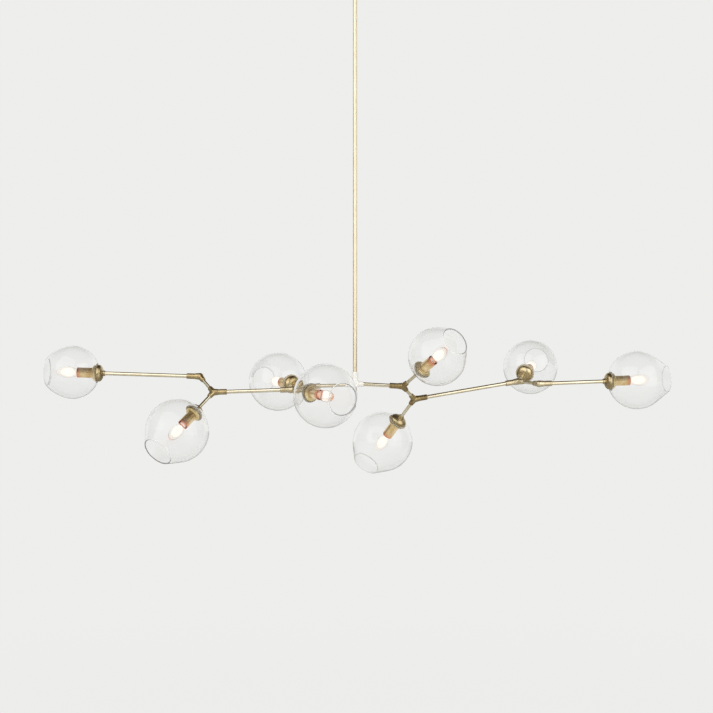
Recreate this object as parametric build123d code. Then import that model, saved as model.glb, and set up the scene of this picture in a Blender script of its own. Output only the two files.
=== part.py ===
from build123d import *
import os
from math import asin, cos, radians, sin, sqrt

# Branching pendant light: a brass stem and hub, two arms of tubes and forked fittings, eight open glass globes.
# Sizes are in millimetres and angles in degrees.
# +Z is up, +X runs to the right-hand arm, and the origin is on the ceiling at the middle of the canopy.

# Clearances
FIT = 0.05              # radial, between a tube, rod or pin and its bore
END_GAP = 0.3           # between a turning tube's end and the bottom of its sleeve

# Ceiling fitting
CANOPY_R = 63.5
CANOPY_DEPTH = 28
CANOPY_RIM = 5          # straight height of the rim
CANOPY_FLAT_R = 14      # flat round the middle hole
CANOPY_WALL = 1.2
BAR_LENGTH = 108
BAR_WIDTH = 24
BAR_THICK = 2.5
BAR_SLOT_SPACING = 88.9
BAR_SLOT_LENGTH = 12
BAR_SLOT_R = 2.25
NIPPLE_R = 5
NIPPLE_BORE_R = 3.2
NIPPLE_HEAD_R = 7
NIPPLE_HEAD_THICK = 3
LOCKNUT_FLATS = 17
LOCKNUT_THICK = 4
CANOPY_NUT_R = 11
CANOPY_NUT_THICK = 8
CANOPY_NUT_ROUND = 1.5

# Swivel between the ceiling fitting and the stem
YOKE_R = 10
YOKE_NECK = 12          # from the yoke's top to the seat of the nipple's head
YOKE_HEAD_GAP = 0.4     # radial, round the nipple's head
YOKE_ROOF = 10          # from the head's seat to the roof of the slot
YOKE_PIN_DROP = 16      # from the roof of the slot to the pin
YOKE_FLAT = 8.5         # half width across the flats that carry the pin's heads
YOKE_FLAT_RISE = 12     # height of those flats above the pin
TONGUE_THICK = 8.8
TONGUE_GAP = 0.1        # each side of the tongue
TONGUE_R = 8
TONGUE_DROP = 16        # from the pin to the stem socket
PIN_R = 3
PIN_HEAD_R = 4.5
PIN_HEAD_THICK = 1.5
SOCKET_R = 8.5
SOCKET_LENGTH = 28
SOCKET_DEPTH = 18
SOCKET_ROUND = 1.5

# Stem and hub
HUB_DROP = 1240         # from the ceiling to the arms' axis
STEM_R = 6
STEM_BORE_R = 4.5
HUB_R = 9
HUB_RISE = 34           # from the arms' axis to the top of the hub
HUB_FALL = 10           # from the arms' axis to the bottom of the hub
HUB_STEM_DEPTH = 20
HUB_PORT_R = 7.5
HUB_PORT_REACH = 24
HUB_PORT_DEPTH = 15
HUB_ROUND = 3
ARM_DROOP = 3

# Tubes and rods
TUBE_R = 5.5
TUBE_BORE_R = 4
ROD_R = 4.75
ROD_BORE_R = 3

# Forks and elbows
FORK_ANGLE = 58         # between a prong and the line of the sleeve
ELBOW_ANGLE = 54
BALL_R = 9.2
SLEEVE_R = 8
SLEEVE_REACH = 38
SLEEVE_DEPTH = 29
SLEEVE_ROUND = 0.8
PRONG_R = 6.25
PRONG_REACH = 15.5
PRONG_DEPTH = 8
PRONG_ROUND = 0.6
PRONG_FLARE = 0.9       # growth of a prong where it leaves the ball
PRONG_FLARE_RUN = 3.2
SEAM_INSET = 7          # from the sleeve's mouth to its turned line
SEAM_WIDTH = 0.8
SEAM_DEPTH = 0.4
SCREW_R = 1.5
SCREW_INSET = 18        # from the fork's middle to the grub screw
GROOVE_WIDTH = 3.4
GROOVE_DEPTH = 0.7
GROOVE_GAP = 0.2        # between the screw's point and the groove
SCREW_SINK = 0.3        # below the sleeve's surface

# Arm lengths, between the middles of the fittings
INNER_REACH = 137
INNER_LINK = 68
END_LINK = 78
LAMP_REACH = 86.5

# Lamps, measured along the lamp's axis from the middle of the back cup's edge
CUP_R = 24
CUP_BACK = 3            # edge behind the middle
CUP_FRONT = 4           # edge in front of the middle
CUP_DOME = 9            # height of the domed back
CUP_NECK_R = 8
CUP_NECK_LENGTH = 18    # from the middle of the edge back to the neck's end
CUP_NECK_DEPTH = 13
CUP_PILOT_R = 13.6      # boss that centres the glass
CUP_WIRE_R = 3
CUP_ROUND = 1.2
GLASS_WALL = 3
GLASS_LIP = 4           # thickness of the flat lip that is clamped
GLASS_HOLE_R = 14
GLASS_SEAT_R = 26       # where the ball leaves the flat lip
MOUTH_R = 40
MOUTH_ANGLE = 35        # of the cone down to the mouth, from the axis
RING_R = 22.5
RING_THICK = 11
RING_ROUND = 1.5
HOLDER_R = 12.5
HOLDER_LENGTH = 42
HOLDER_BORE_R = 7.15
HOLDER_BORE_DEPTH = 28
COVER_R = 14.75
COVER_WALL = 1
COVER_LENGTH = 43
BULB_CAP_R = 7
BULB_NECK_R = 9.5
BULB_NECK_LENGTH = 12
BULB_R = 17
BULB_BODY_LENGTH = 62
BULB_WIDEST = 32        # from the neck to the widest place
BULB_TIP_R = 8

# Each arm: side, tube lengths, the turn of each fitting about the tube or rod before it, and the globes' radii.
ARMS = {
    "right": {
        "side": 1,
        "middle_reach": 316,
        "outer_reach": 210,
        "inner_turn": 143,
        "middle_turn": 141,
        "end_turn": 13,
        "elbow_turn": 7,
        "globe_r": {"inner": 82, "middle": 88, "end": 82, "tip": 85},
    },
    "left": {
        "side": -1,
        "middle_reach": 227,
        "outer_reach": 291,
        "inner_turn": 172,
        "middle_turn": 177,
        "end_turn": -45,
        "elbow_turn": -28,
        "globe_r": {"inner": 86, "middle": 88, "end": 88, "tip": 76},
    },
}

UPWARD = (Align.CENTER, Align.CENTER, Align.MIN)
UP = Vector(0, 0, 1)
HUB = Vector(0, 0, -HUB_DROP)


def bar(origin, direction, start, end, radius):
    """Round bar along a direction, between two distances from its origin."""
    return Plane(origin=origin + direction * start, z_dir=direction) * Cylinder(radius, end - start, align=UPWARD)


def pipe(origin, direction, start, end, radius, bore):
    return bar(origin, direction, start, end, radius) - bar(origin, direction, start, end, bore)


def turned(*edges):
    """Solid turned about Z from a closed outline drawn as (radius, height)."""
    return revolve(Plane.XZ * make_face(edges), Axis.Z)


def square_to(direction, angle):
    """Unit vector square to a direction, level at 0 and turned about it by the angle."""
    level = UP.cross(direction).normalized()
    upright = direction.cross(level)
    return level * cos(radians(angle)) + upright * sin(radians(angle))


def leaning(direction, side, angle):
    return direction * cos(radians(angle)) + side * sin(radians(angle))


# Heights of the ceiling fitting and swivel, downwards from the ceiling
NUT_BOTTOM = CANOPY_DEPTH + CANOPY_NUT_THICK
YOKE_TOP = NUT_BOTTOM + END_GAP
HEAD_SEAT = YOKE_TOP + YOKE_NECK
SLOT_ROOF = HEAD_SEAT + YOKE_ROOF
PIN_LEVEL = SLOT_ROOF + YOKE_PIN_DROP
SOCKET_TOP = PIN_LEVEL + TONGUE_DROP
SOCKET_BOTTOM = SOCKET_TOP + SOCKET_LENGTH
PIN_POINT = Vector(0, 0, -PIN_LEVEL)
DOWN = Vector(0, 0, -1)
CEILING = Vector(0, 0, 0)


def ceiling_bar():
    bar_plate = Pos(0, 0, -BAR_THICK) * Box(BAR_LENGTH, BAR_WIDTH, BAR_THICK, align=UPWARD)
    bar_plate = fillet(bar_plate.edges().filter_by(Axis.Z), BAR_WIDTH / 4)
    slot = Pos(0, 0, -BAR_THICK) * extrude(SlotOverall(BAR_SLOT_LENGTH, 2 * BAR_SLOT_R), BAR_THICK)
    for side in (-1, 1):
        bar_plate -= Pos(side * BAR_SLOT_SPACING / 2, 0, 0) * slot
    return bar_plate - bar(CEILING, DOWN, 0, BAR_THICK, NIPPLE_R + FIT)


def dome_arc(crown, edge):
    """Arc that leaves a crown level and runs up to an edge further out."""
    across = edge[0] - crown[0]
    rise = edge[1] - crown[1]
    bend_r = (across ** 2 + rise ** 2) / (2 * rise)
    half_turn = asin(across / bend_r) / 2
    halfway = (crown[0] + bend_r * sin(half_turn), crown[1] + bend_r * (1 - cos(half_turn)))
    return ThreePointArc(crown, halfway, edge)


def canopy():
    """Spun dome with a straight rim and a flat round its hole."""
    def dome(radius, depth):
        shoulder = (radius, -CANOPY_RIM)
        flat = (CANOPY_FLAT_R, -depth)
        return turned(
            Line((0, 0), (radius, 0)),
            Line((radius, 0), shoulder),
            dome_arc(flat, shoulder),
            Line(flat, (0, -depth)),
            Line((0, -depth), (0, 0)),
        )
    shell = dome(CANOPY_R, CANOPY_DEPTH) - dome(CANOPY_R - CANOPY_WALL, CANOPY_DEPTH - CANOPY_WALL)
    return shell - bar(CEILING, DOWN, 0, CANOPY_DEPTH, NIPPLE_R + FIT)


def nipple():
    shank = bar(CEILING, DOWN, 0, HEAD_SEAT + NIPPLE_HEAD_THICK, NIPPLE_R)
    shank += bar(CEILING, DOWN, HEAD_SEAT, HEAD_SEAT + NIPPLE_HEAD_THICK, NIPPLE_HEAD_R)
    return shank - bar(CEILING, DOWN, 0, HEAD_SEAT + NIPPLE_HEAD_THICK, NIPPLE_BORE_R)


def locknut():
    blank = extrude(RegularPolygon(LOCKNUT_FLATS / 2, 6, major_radius=False), LOCKNUT_THICK)
    blank = Pos(0, 0, -BAR_THICK - LOCKNUT_THICK) * blank
    return blank - bar(CEILING, DOWN, BAR_THICK, BAR_THICK + LOCKNUT_THICK, NIPPLE_R + FIT)


def canopy_nut():
    nut = bar(CEILING, DOWN, CANOPY_DEPTH, NUT_BOTTOM, CANOPY_NUT_R)
    nut = fillet(nut.edges().group_by(Axis.Z)[0], CANOPY_NUT_ROUND)
    return nut - bar(CEILING, DOWN, CANOPY_DEPTH, NUT_BOTTOM, NIPPLE_R + FIT)


def swivel_yoke():
    """Clevis that turns on the nipple's head and carries the tilt pin between two cheeks."""
    body = bar(CEILING, DOWN, YOKE_TOP, PIN_LEVEL, YOKE_R)
    tail = bar(CEILING, DOWN, PIN_LEVEL, PIN_LEVEL + YOKE_R, YOKE_R)
    body += tail & bar(PIN_POINT, Vector(0, 1, 0), -YOKE_R, YOKE_R, YOKE_R)
    body -= bar(CEILING, DOWN, YOKE_TOP, HEAD_SEAT, NIPPLE_R + FIT)
    body -= bar(CEILING, DOWN, HEAD_SEAT, SLOT_ROOF, NIPPLE_HEAD_R + YOKE_HEAD_GAP)
    slot_width = TONGUE_THICK + 2 * TONGUE_GAP
    slot_height = YOKE_PIN_DROP + YOKE_R
    body -= Pos(0, 0, -SLOT_ROOF - slot_height) * Box(2 * YOKE_R, slot_width, slot_height, align=UPWARD)
    flat_height = YOKE_FLAT_RISE + YOKE_R
    for side in (-1, 1):
        flat = Box(2 * YOKE_R, YOKE_R, flat_height, align=UPWARD)
        body -= Pos(0, side * (YOKE_FLAT + YOKE_R / 2), -PIN_LEVEL - YOKE_R) * flat
    return body - bar(PIN_POINT, Vector(0, 1, 0), -YOKE_R, YOKE_R, PIN_R + FIT)


def swivel_pin():
    across = Vector(0, 1, 0)
    pin = bar(PIN_POINT, across, -YOKE_FLAT, YOKE_FLAT, PIN_R)
    for side in (-1, 1):
        pin += bar(PIN_POINT, across * side, YOKE_FLAT, YOKE_FLAT + PIN_HEAD_THICK, PIN_HEAD_R)
    return pin


def swivel_tongue():
    across = Vector(0, 1, 0)
    tongue = bar(PIN_POINT, across, -TONGUE_THICK / 2, TONGUE_THICK / 2, TONGUE_R)
    tongue += Pos(0, 0, -SOCKET_TOP) * Box(2 * TONGUE_R, TONGUE_THICK, TONGUE_DROP, align=UPWARD)
    socket = bar(CEILING, DOWN, SOCKET_TOP, SOCKET_BOTTOM, SOCKET_R)
    socket = fillet(socket.edges().filter_by(GeomType.CIRCLE), SOCKET_ROUND)
    tongue += socket
    tongue -= bar(CEILING, DOWN, SOCKET_BOTTOM - SOCKET_DEPTH, SOCKET_BOTTOM, STEM_R + FIT)
    tongue -= bar(CEILING, DOWN, PIN_LEVEL + TONGUE_R, SOCKET_BOTTOM, STEM_BORE_R / 2)
    return tongue - bar(PIN_POINT, across, -TONGUE_THICK, TONGUE_THICK, PIN_R + FIT)


def stem():
    top = SOCKET_BOTTOM - SOCKET_DEPTH
    bottom = HUB_DROP - HUB_RISE + HUB_STEM_DEPTH
    return pipe(CEILING, DOWN, top, bottom, STEM_R, STEM_BORE_R)


def arm_line(side):
    """Direction of an inner tube, away from the hub."""
    return Vector(side * cos(radians(ARM_DROOP)), 0, -sin(radians(ARM_DROOP)))


def hub_tee():
    body = bar(HUB, UP, -HUB_FALL, HUB_RISE, HUB_R)
    ends = body.edges().filter_by(GeomType.CIRCLE).group_by(Axis.Z)
    body = fillet(ends[0], HUB_ROUND)
    for side in (-1, 1):
        body += bar(HUB, arm_line(side), 0, HUB_PORT_REACH, HUB_PORT_R)
    for side in (-1, 1):
        body -= bar(HUB, arm_line(side), HUB_PORT_REACH - HUB_PORT_DEPTH, HUB_PORT_REACH, TUBE_R + FIT)
        body -= bar(HUB, arm_line(side), 0, HUB_PORT_REACH, TUBE_BORE_R)
    body -= bar(HUB, UP, HUB_RISE - HUB_STEM_DEPTH, HUB_RISE, STEM_R + FIT)
    return body - bar(HUB, UP, 0, HUB_RISE, TUBE_BORE_R)


SLEEVE_BOTTOM = SLEEVE_REACH - SLEEVE_DEPTH
PRONG_BOTTOM = PRONG_REACH - PRONG_DEPTH


def flared_prong():
    """Prong along Z whose root opens out in a hollow curve and dies into the ball."""
    flare_r = PRONG_R + PRONG_FLARE
    root = sqrt((BALL_R - FIT) ** 2 - flare_r ** 2)
    start = root + PRONG_FLARE_RUN
    bend_r = (PRONG_FLARE ** 2 + PRONG_FLARE_RUN ** 2) / (2 * PRONG_FLARE)
    half_turn = asin(PRONG_FLARE_RUN / bend_r) / 2
    halfway = (PRONG_R + bend_r * (1 - cos(half_turn)), start - bend_r * sin(half_turn))
    prong = turned(
        Line((0, 0), (0, PRONG_REACH)),
        Line((0, PRONG_REACH), (PRONG_R, PRONG_REACH)),
        Line((PRONG_R, PRONG_REACH), (PRONG_R, start)),
        ThreePointArc((PRONG_R, start), halfway, (flare_r, root)),
        Line((flare_r, root), (0, 0)),
    )
    return fillet(prong.edges().group_by(Axis.Z)[-1], PRONG_ROUND)


def fitting(middle, sleeve, prongs):
    """Cast fork or elbow: a ball that blends into one tube sleeve and one or two rod prongs."""
    barrel = Cylinder(SLEEVE_R, SLEEVE_REACH, align=UPWARD)
    barrel = fillet(barrel.edges().group_by(Axis.Z)[-1], SLEEVE_ROUND)
    body = Plane(origin=middle, z_dir=sleeve) * (Sphere(BALL_R) + barrel)
    for prong in prongs:
        body += Plane(origin=middle, z_dir=prong) * flared_prong()
    body -= bar(middle, sleeve, SLEEVE_BOTTOM, SLEEVE_REACH, TUBE_R + FIT)
    body -= bar(middle, sleeve, 0, SLEEVE_BOTTOM, ROD_BORE_R)
    for prong in prongs:
        body -= bar(middle, prong, PRONG_BOTTOM, PRONG_REACH, ROD_R + FIT)
        body -= bar(middle, prong, 0, PRONG_BOTTOM, ROD_BORE_R)
    seam = SLEEVE_REACH - SEAM_INSET
    body -= pipe(middle, sleeve, seam, seam + SEAM_WIDTH, SLEEVE_R + SEAM_DEPTH, SLEEVE_R - SEAM_DEPTH)
    return body - bar(middle + sleeve * SCREW_INSET, screw_side(sleeve), 0, SLEEVE_R, SCREW_R + FIT)


def screw_side(sleeve):
    """Grub screws sit on the underside of their sleeves, out of sight."""
    return square_to(sleeve, -90)


def grub_screw(middle, sleeve, point):
    return bar(middle + sleeve * SCREW_INSET, screw_side(sleeve), point, SLEEVE_R - SCREW_SINK, SCREW_R)


TURNING_POINT = TUBE_R - GROOVE_DEPTH + GROOVE_GAP
FIXED_POINT = TUBE_R + FIT


def grooved(tube, middle, sleeve):
    """Tube end with the groove that a turning sleeve's grub screw runs in."""
    start = SCREW_INSET - GROOVE_WIDTH / 2
    return tube - pipe(middle, sleeve, start, start + GROOVE_WIDTH, TUBE_R + FIT, TUBE_R - GROOVE_DEPTH)


GLASS_BACK = CUP_FRONT
GLASS_FACE = CUP_FRONT + GLASS_LIP
RING_FACE = GLASS_FACE + RING_THICK
HOLDER_END = GLASS_FACE + HOLDER_LENGTH
CAP_SEAT = HOLDER_END - HOLDER_BORE_DEPTH


def back_cup(stalk_r):
    """Domed cup on the end of a rod or tube, with a boss that centres the glass."""
    edge = (CUP_R, -CUP_BACK)
    neck = (CUP_NECK_R, -CUP_BACK - CUP_DOME)
    cup = turned(
        Line((0, -CUP_NECK_LENGTH), (CUP_NECK_R, -CUP_NECK_LENGTH)),
        Line((CUP_NECK_R, -CUP_NECK_LENGTH), neck),
        dome_arc(neck, edge),
        Line(edge, (CUP_R, CUP_FRONT)),
        Line((CUP_R, CUP_FRONT), (CUP_PILOT_R, CUP_FRONT)),
        Line((CUP_PILOT_R, CUP_FRONT), (CUP_PILOT_R, GLASS_FACE)),
        Line((CUP_PILOT_R, GLASS_FACE), (0, GLASS_FACE)),
        Line((0, GLASS_FACE), (0, -CUP_NECK_LENGTH)),
    )
    circles = cup.edges().filter_by(GeomType.CIRCLE)
    rim = [e for e in circles if abs(e.arc_center.Z - CUP_FRONT) < FIT and abs(e.radius - CUP_R) < FIT]
    cup = fillet(rim, CUP_ROUND)
    cup -= bar(CEILING, UP, -CUP_NECK_LENGTH, -CUP_NECK_LENGTH + CUP_NECK_DEPTH, stalk_r + FIT)
    return cup - bar(CEILING, UP, -CUP_NECK_LENGTH, GLASS_FACE, CUP_WIRE_R)


def globe(radius):
    """Blown globe: a ball cut flat where it is clamped, running into a cone that ends in an open, rounded mouth."""
    lean = radians(MOUTH_ANGLE)
    middle = GLASS_BACK + sqrt(radius ** 2 - GLASS_SEAT_R ** 2)
    inner = radius - GLASS_WALL

    def on_ball(r, height):
        return (sqrt(r ** 2 - (height - middle) ** 2), height)

    tangent_out = (radius * cos(lean), middle + radius * sin(lean))
    tangent_in = (inner * cos(lean), middle + inner * sin(lean))
    run = (tangent_out[0] - MOUTH_R) / sin(lean)
    mouth_out = (MOUTH_R, tangent_out[1] + run * cos(lean))
    mouth_in = (tangent_in[0] - run * sin(lean), tangent_in[1] + run * cos(lean))
    half = GLASS_WALL / 2
    rim = (
        (mouth_out[0] + mouth_in[0]) / 2 - half * sin(lean),
        (mouth_out[1] + mouth_in[1]) / 2 + half * cos(lean),
    )
    seat = on_ball(radius, GLASS_BACK)
    lip = on_ball(inner, GLASS_FACE)
    return turned(
        Line((GLASS_HOLE_R, GLASS_BACK), seat),
        ThreePointArc(seat, (radius, middle), tangent_out),
        Line(tangent_out, mouth_out),
        ThreePointArc(mouth_out, rim, mouth_in),
        Line(mouth_in, tangent_in),
        ThreePointArc(tangent_in, (inner, middle), lip),
        Line(lip, (GLASS_HOLE_R, GLASS_FACE)),
        Line((GLASS_HOLE_R, GLASS_FACE), (GLASS_HOLE_R, GLASS_BACK)),
    )


def clamp_ring():
    ring = bar(CEILING, UP, GLASS_FACE, RING_FACE, RING_R)
    ring = fillet(ring.edges().group_by(Axis.Z)[-1], RING_ROUND)
    return ring - bar(CEILING, UP, GLASS_FACE, RING_FACE, HOLDER_R + FIT)


def lampholder():
    holder = bar(CEILING, UP, GLASS_FACE, HOLDER_END, HOLDER_R)
    return holder - bar(CEILING, UP, CAP_SEAT, HOLDER_END, HOLDER_BORE_R)


def socket_cover():
    return pipe(CEILING, UP, RING_FACE, RING_FACE + COVER_LENGTH, COVER_R, COVER_R - COVER_WALL)


def bulb():
    """Candle-size bulb: screw cap, short neck and a rounded envelope."""
    neck_end = HOLDER_END + BULB_NECK_LENGTH
    tip = neck_end + BULB_BODY_LENGTH
    widest = neck_end + BULB_WIDEST
    swell = Spline(
        (BULB_NECK_R, neck_end),
        (BULB_R, widest),
        (BULB_TIP_R, tip - BULB_TIP_R / 3),
        (0, tip),
        tangents=((0.5, 1), (-1, 0)),
    )
    return turned(
        Line((0, CAP_SEAT), (BULB_CAP_R, CAP_SEAT)),
        Line((BULB_CAP_R, CAP_SEAT), (BULB_CAP_R, HOLDER_END)),
        Line((BULB_CAP_R, HOLDER_END), (BULB_NECK_R, HOLDER_END)),
        Line((BULB_NECK_R, HOLDER_END), (BULB_NECK_R, neck_end)),
        swell,
        Line((0, tip), (0, CAP_SEAT)),
    )


def lamp(place, direction, stalk_r, globe_r):
    """All pieces of one lamp, set on the end of its rod or tube."""
    seat = Plane(origin=place, z_dir=direction)
    return {
        "cup": seat * back_cup(stalk_r),
        "globe": seat * globe(globe_r),
        "ring": seat * clamp_ring(),
        "holder": seat * lampholder(),
        "cover": seat * socket_cover(),
        "bulb": seat * bulb(),
    }


def rod(start, direction, length, end_inset):
    """Hollow rod from the bottom of a prong to a seat short of the far end."""
    return pipe(start, direction, PRONG_BOTTOM, length - end_inset, ROD_R, ROD_BORE_R)


def arm(name, spec):
    """One arm: its inner, middle and outer tubes, forks, elbow, rods and four lamps, as a dict of nodes."""
    line = arm_line(spec["side"])
    globe_r = spec["globe_r"]
    cup_seat = CUP_NECK_LENGTH - CUP_NECK_DEPTH

    # The inner fork splits the line into a lamp and a link
    inner_fork = HUB + line * INNER_REACH
    split = square_to(line, spec["inner_turn"])
    inner_lamp = leaning(line, split, FORK_ANGLE)
    link = leaning(line, -split, FORK_ANGLE)

    # The middle fork sits the other way round on the link and sends its lamp back
    middle_fork = inner_fork + link * INNER_LINK
    run = leaning(link, square_to(link, spec["middle_turn"]), FORK_ANGLE)
    middle_lamp = link - run * (2 * cos(radians(FORK_ANGLE)))

    # The end fork splits the middle tube's line, and the elbow turns its link back outwards
    end_fork = middle_fork + run * spec["middle_reach"]
    split = square_to(run, spec["end_turn"])
    end_lamp = leaning(run, split, FORK_ANGLE)
    end_link = leaning(run, -split, FORK_ANGLE)
    elbow = end_fork + end_link * END_LINK
    out = leaning(end_link, square_to(end_link, spec["elbow_turn"]), ELBOW_ANGLE)

    tubes = {
        "inner": pipe(HUB, line, HUB_PORT_REACH - HUB_PORT_DEPTH, INNER_REACH - SLEEVE_BOTTOM - END_GAP,
                      TUBE_R, TUBE_BORE_R),
        "middle": pipe(middle_fork, run, SLEEVE_BOTTOM, spec["middle_reach"] - SLEEVE_BOTTOM - END_GAP,
                       TUBE_R, TUBE_BORE_R),
        "outer": pipe(elbow, out, SLEEVE_BOTTOM, spec["outer_reach"] - cup_seat, TUBE_R, TUBE_BORE_R),
    }
    tubes["inner"] = grooved(tubes["inner"], inner_fork, -line)
    tubes["middle"] = grooved(tubes["middle"], end_fork, -run)

    lamps = {
        "inner": lamp(inner_fork + inner_lamp * LAMP_REACH, inner_lamp, ROD_R, globe_r["inner"]),
        "middle": lamp(middle_fork + middle_lamp * LAMP_REACH, middle_lamp, ROD_R, globe_r["middle"]),
        "end": lamp(end_fork + end_lamp * LAMP_REACH, end_lamp, ROD_R, globe_r["end"]),
        "tip": lamp(elbow + out * spec["outer_reach"], out, TUBE_R, globe_r["tip"]),
    }
    nodes = {
        "inner_tube": tubes["inner"],
        "inner_fork": fitting(inner_fork, -line, (inner_lamp, link)),
        "middle_fork": fitting(middle_fork, run, (-link, middle_lamp)),
        "middle_tube": tubes["middle"],
        "end_fork": fitting(end_fork, -run, (end_lamp, end_link)),
        "elbow": fitting(elbow, out, (-end_link,)),
        "outer_tube": tubes["outer"],
        "middle_rods": [
            rod(inner_fork, link, INNER_LINK, PRONG_BOTTOM),
            rod(inner_fork, inner_lamp, LAMP_REACH, cup_seat),
            rod(middle_fork, middle_lamp, LAMP_REACH, cup_seat),
        ],
        "end_rods": [
            rod(end_fork, end_link, END_LINK, PRONG_BOTTOM),
            rod(end_fork, end_lamp, LAMP_REACH, cup_seat),
        ],
        "middle_screws": [
            grub_screw(inner_fork, -line, TURNING_POINT),
            grub_screw(middle_fork, run, FIXED_POINT),
        ],
        "end_screws": [
            grub_screw(end_fork, -run, TURNING_POINT),
            grub_screw(elbow, out, FIXED_POINT),
        ],
    }
    for label, solids in lamps.items():
        nodes[f"{label}_globe"] = solids["globe"]
    for group, members in {"middle": ("inner", "middle"), "end": ("end", "tip")}.items():
        for piece, plural in {"cup": "back_cups", "ring": "clamp_rings", "holder": "lampholders",
                              "cover": "socket_covers", "bulb": "bulbs"}.items():
            nodes[f"{group}_{plural}"] = [lamps[member][piece] for member in members]
    return {f"{name}_{node}": solid for node, solid in nodes.items()}


def save(node, shape):
    """One STEP file a node; pieces of one kind on one body share a node as separate solids."""
    solids = shape if isinstance(shape, list) else [shape]
    export_step(Compound(children=[s for solid in solids for s in solid.solids()]), f"parts/{node}.step")


def main():
    os.makedirs("parts", exist_ok=True)
    nodes = {
        "ceiling_bar": ceiling_bar(),
        "canopy": canopy(),
        "nipple": nipple(),
        "locknut": locknut(),
        "canopy_nut": canopy_nut(),
        "swivel_yoke": swivel_yoke(),
        "swivel_pin": swivel_pin(),
        "swivel_tongue": swivel_tongue(),
        "stem": stem(),
        "hub_tee": hub_tee(),
    }
    for name, spec in ARMS.items():
        nodes.update(arm(name, spec))
    for node, shape in nodes.items():
        save(node, shape)
    print(len(nodes), "nodes")


main()
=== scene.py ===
"""Branching brass pendant light with eight open blown-glass globes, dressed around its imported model."""

from math import cos, pi, radians, sin, sqrt

import bmesh
import bpy
import numpy as np
from mathutils import Matrix, Vector


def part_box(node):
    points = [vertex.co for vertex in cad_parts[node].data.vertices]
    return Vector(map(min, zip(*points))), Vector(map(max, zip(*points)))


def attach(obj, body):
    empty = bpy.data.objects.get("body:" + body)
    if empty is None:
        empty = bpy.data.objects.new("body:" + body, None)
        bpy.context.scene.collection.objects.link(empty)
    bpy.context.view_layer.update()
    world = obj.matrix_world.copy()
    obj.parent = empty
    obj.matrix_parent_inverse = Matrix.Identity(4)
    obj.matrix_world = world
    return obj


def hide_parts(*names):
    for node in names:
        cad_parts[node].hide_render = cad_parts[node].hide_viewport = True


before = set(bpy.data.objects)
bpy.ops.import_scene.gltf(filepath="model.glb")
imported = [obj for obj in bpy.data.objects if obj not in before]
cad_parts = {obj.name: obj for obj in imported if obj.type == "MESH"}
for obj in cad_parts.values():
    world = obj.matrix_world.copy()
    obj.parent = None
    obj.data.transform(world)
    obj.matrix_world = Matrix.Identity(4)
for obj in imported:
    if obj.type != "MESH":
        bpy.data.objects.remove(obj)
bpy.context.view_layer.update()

MM = 0.001
TOUCHING = 1e-7                     # metres, closer than which two points are one

# Where the photograph was taken from, measured from the crossing of the hub's and the arms' axes
IMAGE_WIDTH = 713                   # pixels
FOCAL_LENGTH = 1497                 # pixels
SENSOR_WIDTH = 36                   # millimetres
CAMERA_ASIDE = 36 * MM
CAMERA_AWAY = 4281 * MM
CAMERA_BELOW = 66 * MM
CAMERA_LIFT = radians(1.925)        # of its view above the level
CAMERA_TURN = radians(0.424)
HUB_FALL = 10 * MM                  # from the arms' axis to the bottom of the hub

# A lamp's sizes along its axis from the middle of its cup's edge, the solids' own or a little inside them
CUP_R = 24 * MM
CUP_BACK = -3 * MM
CUP_EDGE = -1.5 * MM
CUP_FRONT = 3.85 * MM
CUP_DOME = 9 * MM
CUP_NECK_R = 8 * MM
CUP_NECK_END = -18 * MM
CUP_PILOT_R = 13.6 * MM
CUP_WIRE_R = 3 * MM
CUP_ROUND = 1.2 * MM
GLASS_BACK = 4 * MM
GLASS_FACE = 8 * MM
RING_BACK = 8.15 * MM
GLASS_HOLE_R = 14 * MM
GLASS_SEAT_R = 26 * MM
GLASS_WALL = 3 * MM
GLASS_GROUND_R = 27 * MM            # the ground lip, a little wider than the clamp ring
RING_R = 22.5 * MM
RING_EDGE = 14.5 * MM
RING_FACE = 19 * MM
RING_END_R = 16.5 * MM
RING_HOLE_R = 12.6 * MM
RING_ROUND = 1.2 * MM
COVER_BACK = 19 * MM
COVER_FRONT = 62 * MM
COVER_R = 14.75 * MM
COVER_WALL = 1 * MM
COVER_BEAD_R = 0.75 * MM
CAP_BACK = 22 * MM
CAP_FRONT = 50 * MM
CAP_CORE_R = 6.3 * MM
CAP_THREAD_R = 0.65 * MM
CAP_PITCH = 2.8 * MM
CAP_TURNS = 7.5
CAP_PLAIN = 1 * MM                  # without thread, next to the bulb
BULB_NECK_R = 9.5 * MM
BULB_NECK_FRONT = 62 * MM
BULB_R = 16.5 * MM
BULB_WIDEST = 92 * MM
BULB_TIP = 122 * MM
HEART_R = 11 * MM
HEART_HALF = 21 * MM
HEART_MIDDLE = 89 * MM

# The globes' mouths, cut by hand: radius, and the lean of the wall where the ball ends and at the rim
MOUTH_LEAN = radians(35)            # of the cone that each mouth's height is measured on
PLAIN_NECK = (MOUTH_LEAN, MOUTH_LEAN)
FULL_NECK = (radians(20), radians(50))
MOUTHS = {
    "right_inner": (42 * MM, *PLAIN_NECK),
    "right_middle": (42 * MM, *PLAIN_NECK),
    "right_end": (40 * MM, *PLAIN_NECK),
    "right_tip": (40 * MM, *PLAIN_NECK),
    "left_inner": (40 * MM, *PLAIN_NECK),
    "left_middle": (45 * MM, *PLAIN_NECK),
    "left_end": (44 * MM, *PLAIN_NECK),
    "left_tip": (40 * MM, *FULL_NECK),
}
NECK_BOW = 0.36                     # pull of each end on a neck's curve, as a share of its run
GLOBE_SEGMENTS = 160
LIP_BEVEL = 0.5 * MM
LIP_STEP = 0.6 * MM                 # from the ground lip out to the ball's inside
WANDER_IN = 0.5 * MM
WANDER_DOWN = 0.8 * MM
WANDER_START = 20 * MM              # above the cup's edge
WANDER_TWIST = 30                   # radians for each metre up the wall
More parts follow.
